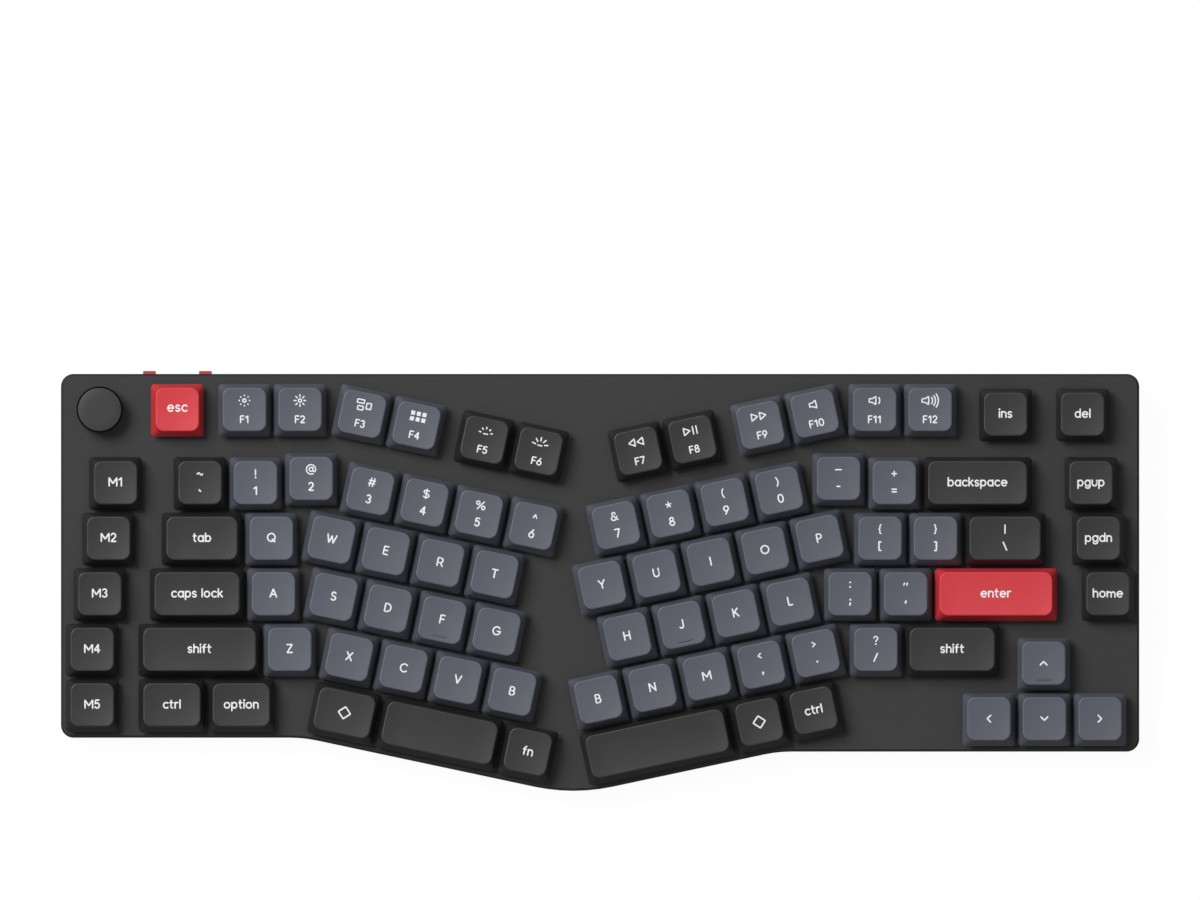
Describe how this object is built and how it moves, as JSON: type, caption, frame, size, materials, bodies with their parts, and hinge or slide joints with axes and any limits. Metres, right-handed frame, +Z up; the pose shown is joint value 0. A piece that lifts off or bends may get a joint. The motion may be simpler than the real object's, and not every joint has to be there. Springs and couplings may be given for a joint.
{
  "type": "ergonomic keyboard",
  "caption": "Low-profile split-angle keyboard on one wedge case: slanted key blocks, macro column, turning knob, slide switches and fold-out feet.",
  "frame": {"origin": "middle of the footprint, on the table under the rubber feet", "axes": "+Z up, +X to the user's right along the rows of keys, +Y away from the user"},
  "size_m": [0.3698, 0.1442, 0.0293],
  "materials": {
    "deck_metal": "fine matte anodised, dark grey",
    "tray_plastic": "fine spark texture, near black",
    "foam": "open-cell sheet foam",
    "board_laminate": "black-green solder mask",
    "silicone": "moulded silicone sheet",
    "battery_foil": "heat-sealed foil pouch",
    "switch_black": "moulded nylon",
    "switch_clear": "clear polycarbonate",
    "spring_steel": "drawn spring wire",
    "socket_plastic": "moulded plastic",
    "clip_plastic": "moulded plastic",
    "wire_steel": "polished wire",
    "port_steel": "nickel-plated shell",
    "switch_steel": "tin-plated can",
    "encoder_can": "zinc can",
    "rotor_plastic": "moulded acetal",
    "shaft_metal": "turned aluminium",
    "knob_metal": "matte anodised, dark grey",
    "slider_red": "moulded red plastic",
    "screw_steel": "black zinc plated",
    "foot_rubber": "soft black rubber",
    "tilt_foot_plastic": "moulded plastic",
    "slate_keycap": "dense fine-textured plastic, slate grey",
    "dark_keycap": "dense fine-textured plastic, charcoal",
    "red_keycap": "dense fine-textured plastic, coral red"
  },
  "bodies": {
    "case": {"battery_pack": "battery_foil", "bottom_case": "tray_plastic", "bottom_pad": "silicone", "case_screws": "screw_steel", "charging_port": "port_steel", "circuit_board": "board_laminate", "deck_plate": "deck_metal", "encoder_body": "encoder_can", "hot_swap_sockets": "socket_plastic", "plate_foam": "foam", "rubber_feet": "foot_rubber", "slide_switch_bodies": "switch_steel", "stabiliser_clips": "clip_plastic", "switch_bases": "switch_black", "switch_springs": "spring_steel", "switch_tops": "switch_clear"},
    "escape_key": {"escape_key": "red_keycap"},
    "function_keys_outer": {"function_keys_outer": "slate_keycap"},
    "function_keys_inner": {"function_keys_inner": "dark_keycap"},
    "navigation_keys": {"navigation_keys": "dark_keycap"},
    "macro_keys": {"macro_keys": "dark_keycap"},
    "grave_key": {"grave_key": "dark_keycap"},
    "number_keys_left": {"number_keys_left": "slate_keycap"},
    "number_keys_right": {"number_keys_right": "slate_keycap"},
    "backspace_key": {"backspace_key": "dark_keycap"},
    "tab_key": {"tab_key": "dark_keycap"},
    "upper_keys_left": {"upper_keys_left": "slate_keycap"},
    "upper_keys_right": {"upper_keys_right": "slate_keycap"},
    "backslash_key": {"backslash_key": "dark_keycap"},
    "caps_lock_key": {"caps_lock_key": "dark_keycap"},
    "home_keys_left": {"home_keys_left": "slate_keycap"},
    "home_keys_right": {"home_keys_right": "slate_keycap"},
    "enter_key": {"enter_key": "red_keycap"},
    "left_shift_key": {"left_shift_key": "dark_keycap"},
    "lower_keys_left": {"lower_keys_left": "slate_keycap"},
    "lower_keys_right": {"lower_keys_right": "slate_keycap"},
    "right_shift_key": {"right_shift_key": "dark_keycap"},
    "up_arrow_key": {"up_arrow_key": "slate_keycap"},
    "left_control_key": {"left_control_key": "dark_keycap"},
    "left_alt_key": {"left_alt_key": "dark_keycap"},
    "left_meta_key": {"left_meta_key": "dark_keycap"},
    "left_space_key": {"left_space_key": "dark_keycap"},
    "function_shift_key": {"function_shift_key": "dark_keycap"},
    "right_space_key": {"right_space_key": "dark_keycap"},
    "right_modifier_keys": {"right_modifier_keys": "dark_keycap"},
    "left_arrow_key": {"left_arrow_key": "slate_keycap"},
    "down_arrow_key": {"down_arrow_key": "slate_keycap"},
    "right_arrow_key": {"right_arrow_key": "slate_keycap"},
    "backspace_wire": {"backspace_wire": "wire_steel"},
    "enter_wire": {"enter_wire": "wire_steel"},
    "left_shift_wire": {"left_shift_wire": "wire_steel"},
    "left_space_wire": {"left_space_wire": "wire_steel"},
    "right_space_wire": {"right_space_wire": "wire_steel"},
    "encoder_rotor": {"encoder_rotor": "rotor_plastic"},
    "knob": {"encoder_shaft": "shaft_metal", "knob": "knob_metal"},
    "power_slider": {"power_slider": "slider_red"},
    "mode_slider": {"mode_slider": "slider_red"},
    "left_tilt_foot": {"left_tilt_foot": "tilt_foot_plastic"},
    "right_tilt_foot": {"right_tilt_foot": "tilt_foot_plastic"}
  },
  "joints": [
    {"name": "knob_turn", "type": "hinge", "parent": "case", "child": "encoder_rotor", "pos_m": [-0.17163, 0.05855, 0.01993], "axis": [0, -0.0454, 0.999], "continuous": true},
    {"name": "knob_press", "type": "slide", "parent": "encoder_rotor", "child": "knob", "axis": [0, 0.0454, -0.999], "range_m": [0, 0.0005], "stiffness_N_per_m": 1500, "springref_m": -0.0008},
    {"name": "power_slider_slide", "type": "slide", "parent": "case", "child": "power_slider", "axis": [1, 0, 0], "range_m": [-0.002, 0.002]},
    {"name": "mode_slider_slide", "type": "slide", "parent": "case", "child": "mode_slider", "axis": [1, 0, 0], "range_m": [0, 0.0022]},
    {"name": "left_tilt_foot_fold", "type": "hinge", "parent": "case", "child": "left_tilt_foot", "pos_m": [-0.12596, 0.05531, 0.0024], "axis": [1, 0, 0], "range_deg": [0, 95]},
    {"name": "right_tilt_foot_fold", "type": "hinge", "parent": "case", "child": "right_tilt_foot", "pos_m": [0.12604, 0.05531, 0.0024], "axis": [1, 0, 0], "range_deg": [0, 95]},
    {"name": "escape_key_press", "type": "slide", "parent": "case", "child": "escape_key", "axis": [0, 0.0454, -0.999], "range_m": [0, 0.0032], "stiffness_N_per_m": 100, "springref_m": -0.004, "deforming": ["switch_springs"]},
    {"name": "enter_key_press", "type": "slide", "parent": "case", "child": "enter_key", "axis": [0, 0.0454, -0.999], "range_m": [0, 0.0032], "stiffness_N_per_m": 100, "springref_m": -0.004, "deforming": ["switch_springs"]},
    {"name": "enter_wire_turn", "type": "hinge", "parent": "case", "child": "enter_wire", "pos_m": [0.13575, 0.00305, 0.01451], "axis": [1, 0, 0], "range_deg": [0, 22.81]},
    {"name": "left_space_key_press", "type": "slide", "parent": "case", "child": "left_space_key", "axis": [0, 0.0454, -0.999], "range_m": [0, 0.0032], "stiffness_N_per_m": 100, "springref_m": -0.004, "deforming": ["switch_springs"]},
    {"name": "left_space_wire_turn", "type": "hinge", "parent": "case", "child": "left_space_wire", "pos_m": [-0.05349, -0.04482, 0.01234], "axis": [0.9781, -0.2077, -0.0094], "range_deg": [0, 22.81]},
    {"name": "right_space_key_press", "type": "slide", "parent": "case", "child": "right_space_key", "axis": [0, 0.0454, -0.999], "range_m": [0, 0.0032], "stiffness_N_per_m": 100, "springref_m": -0.004, "deforming": ["switch_springs"]},
    {"name": "right_space_wire_turn", "type": "hinge", "parent": "case", "child": "right_space_wire", "pos_m": [0.01809, -0.04845, 0.01217], "axis": [0.9781, 0.2077, 0.0094], "range_deg": [0, 22.81]},
    {"name": "backspace_key_press", "type": "slide", "parent": "case", "child": "backspace_key", "axis": [0, 0.0454, -0.999], "range_m": [0, 0.0032], "stiffness_N_per_m": 100, "springref_m": -0.004, "deforming": ["switch_springs"]},
    {"name": "backspace_wire_turn", "type": "hinge", "parent": "case", "child": "backspace_wire", "pos_m": [0.12946, 0.04111, 0.01624], "axis": [1, 0, 0], "range_deg": [0, 22.81]},
    {"name": "left_shift_key_press", "type": "slide", "parent": "case", "child": "left_shift_key", "axis": [0, 0.0454, -0.999], "range_m": [0, 0.0032], "stiffness_N_per_m": 100, "springref_m": -0.004, "deforming": ["switch_springs"]},
    {"name": "left_shift_wire_turn", "type": "hinge", "parent": "case", "child": "left_shift_wire", "pos_m": [-0.13737, -0.01598, 0.01364], "axis": [1, 0, 0], "range_deg": [0, 22.81]},
    {"name": "function_keys_outer_press", "type": "slide", "parent": "case", "child": "function_keys_outer", "axis": [0, 0.0454, -0.999], "range_m": [0, 0.0032], "stiffness_N_per_m": 800, "springref_m": -0.004, "deforming": ["switch_springs"]},
    {"name": "function_keys_inner_press", "type": "slide", "parent": "case", "child": "function_keys_inner", "axis": [0, 0.0454, -0.999], "range_m": [0, 0.0032], "stiffness_N_per_m": 400, "springref_m": -0.004, "deforming": ["switch_springs"]},
    {"name": "navigation_keys_press", "type": "slide", "parent": "case", "child": "navigation_keys", "axis": [0, 0.0454, -0.999], "range_m": [0, 0.0032], "stiffness_N_per_m": 500, "springref_m": -0.004, "deforming": ["switch_springs"]},
    {"name": "macro_keys_press", "type": "slide", "parent": "case", "child": "macro_keys", "axis": [0, 0.0454, -0.999], "range_m": [0, 0.0032], "stiffness_N_per_m": 500, "springref_m": -0.004, "deforming": ["switch_springs"]},
    {"name": "grave_key_press", "type": "slide", "parent": "case", "child": "grave_key", "axis": [0, 0.0454, -0.999], "range_m": [0, 0.0032], "stiffness_N_per_m": 100, "springref_m": -0.004, "deforming": ["switch_springs"]},
    {"name": "number_keys_left_press", "type": "slide", "parent": "case", "child": "number_keys_left", "axis": [0, 0.0454, -0.999], "range_m": [0, 0.0032], "stiffness_N_per_m": 600, "springref_m": -0.004, "deforming": ["switch_springs"]},
    {"name": "number_keys_right_press", "type": "slide", "parent": "case", "child": "number_keys_right", "axis": [0, 0.0454, -0.999], "range_m": [0, 0.0032], "stiffness_N_per_m": 600, "springref_m": -0.004, "deforming": ["switch_springs"]},
    {"name": "tab_key_press", "type": "slide", "parent": "case", "child": "tab_key", "axis": [0, 0.0454, -0.999], "range_m": [0, 0.0032], "stiffness_N_per_m": 100, "springref_m": -0.004, "deforming": ["switch_springs"]},
    {"name": "upper_keys_left_press", "type": "slide", "parent": "case", "child": "upper_keys_left", "axis": [0, 0.0454, -0.999], "range_m": [0, 0.0032], "stiffness_N_per_m": 500, "springref_m": -0.004, "deforming": ["switch_springs"]},
    {"name": "upper_keys_right_press", "type": "slide", "parent": "case", "child": "upper_keys_right", "axis": [0, 0.0454, -0.999], "range_m": [0, 0.0032], "stiffness_N_per_m": 700, "springref_m": -0.004, "deforming": ["switch_springs"]},
    {"name": "backslash_key_press", "type": "slide", "parent": "case", "child": "backslash_key", "axis": [0, 0.0454, -0.999], "range_m": [0, 0.0032], "stiffness_N_per_m": 100, "springref_m": -0.004, "deforming": ["switch_springs"]},
    {"name": "caps_lock_key_press", "type": "slide", "parent": "case", "child": "caps_lock_key", "axis": [0, 0.0454, -0.999], "range_m": [0, 0.0032], "stiffness_N_per_m": 100, "springref_m": -0.004, "deforming": ["switch_springs"]},
    {"name": "home_keys_left_press", "type": "slide", "parent": "case", "child": "home_keys_left", "axis": [0, 0.0454, -0.999], "range_m": [0, 0.0032], "stiffness_N_per_m": 500, "springref_m": -0.004, "deforming": ["switch_springs"]},
    {"name": "home_keys_right_press", "type": "slide", "parent": "case", "child": "home_keys_right", "axis": [0, 0.0454, -0.999], "range_m": [0, 0.0032], "stiffness_N_per_m": 600, "springref_m": -0.004, "deforming": ["switch_springs"]},
    {"name": "lower_keys_left_press", "type": "slide", "parent": "case", "child": "lower_keys_left", "axis": [0, 0.0454, -0.999], "range_m": [0, 0.0032], "stiffness_N_per_m": 500, "springref_m": -0.004, "deforming": ["switch_springs"]},
    {"name": "lower_keys_right_press", "type": "slide", "parent": "case", "child": "lower_keys_right", "axis": [0, 0.0454, -0.999], "range_m": [0, 0.0032], "stiffness_N_per_m": 600, "springref_m": -0.004, "deforming": ["switch_springs"]},
    {"name": "right_shift_key_press", "type": "slide", "parent": "case", "child": "right_shift_key", "axis": [0, 0.0454, -0.999], "range_m": [0, 0.0032], "stiffness_N_per_m": 100, "springref_m": -0.004, "deforming": ["switch_springs"]},
    {"name": "up_arrow_key_press", "type": "slide", "parent": "case", "child": "up_arrow_key", "axis": [0, 0.0454, -0.999], "range_m": [0, 0.0032], "stiffness_N_per_m": 100, "springref_m": -0.004, "deforming": ["switch_springs"]},
    {"name": "left_control_key_press", "type": "slide", "parent": "case", "child": "left_control_key", "axis": [0, 0.0454, -0.999], "range_m": [0, 0.0032], "stiffness_N_per_m": 100, "springref_m": -0.004, "deforming": ["switch_springs"]},
    {"name": "left_alt_key_press", "type": "slide", "parent": "case", "child": "left_alt_key", "axis": [0, 0.0454, -0.999], "range_m": [0, 0.0032], "stiffness_N_per_m": 100, "springref_m": -0.004, "deforming": ["switch_springs"]},
    {"name": "left_meta_key_press", "type": "slide", "parent": "case", "child": "left_meta_key", "axis": [0, 0.0454, -0.999], "range_m": [0, 0.0032], "stiffness_N_per_m": 100, "springref_m": -0.004, "deforming": ["switch_springs"]},
    {"name": "function_shift_key_press", "type": "slide", "parent": "case", "child": "function_shift_key", "axis": [0, 0.0454, -0.999], "range_m": [0, 0.0032], "stiffness_N_per_m": 100, "springref_m": -0.004, "deforming": ["switch_springs"]},
    {"name": "right_modifier_keys_press", "type": "slide", "parent": "case", "child": "right_modifier_keys", "axis": [0, 0.0454, -0.999], "range_m": [0, 0.0032], "stiffness_N_per_m": 200, "springref_m": -0.004, "deforming": ["switch_springs"]},
    {"name": "left_arrow_key_press", "type": "slide", "parent": "case", "child": "left_arrow_key", "axis": [0, 0.0454, -0.999], "range_m": [0, 0.0032], "stiffness_N_per_m": 100, "springref_m": -0.004, "deforming": ["switch_springs"]},
    {"name": "down_arrow_key_press", "type": "slide", "parent": "case", "child": "down_arrow_key", "axis": [0, 0.0454, -0.999], "range_m": [0, 0.0032], "stiffness_N_per_m": 100, "springref_m": -0.004, "deforming": ["switch_springs"]},
    {"name": "right_arrow_key_press", "type": "slide", "parent": "case", "child": "right_arrow_key", "axis": [0, 0.0454, -0.999], "range_m": [0, 0.0032], "stiffness_N_per_m": 100, "springref_m": -0.004, "deforming": ["switch_springs"]}
  ],
  "couplings": [
    {"joint": "backspace_wire_turn", "follows": "backspace_key_press", "rad_per_m": 121.66},
    {"joint": "enter_wire_turn", "follows": "enter_key_press", "rad_per_m": 121.66},
    {"joint": "left_shift_wire_turn", "follows": "left_shift_key_press", "rad_per_m": 121.66},
    {"joint": "left_space_wire_turn", "follows": "left_space_key_press", "rad_per_m": 121.66},
    {"joint": "right_space_wire_turn", "follows": "right_space_key_press", "rad_per_m": 121.66}
  ]
}
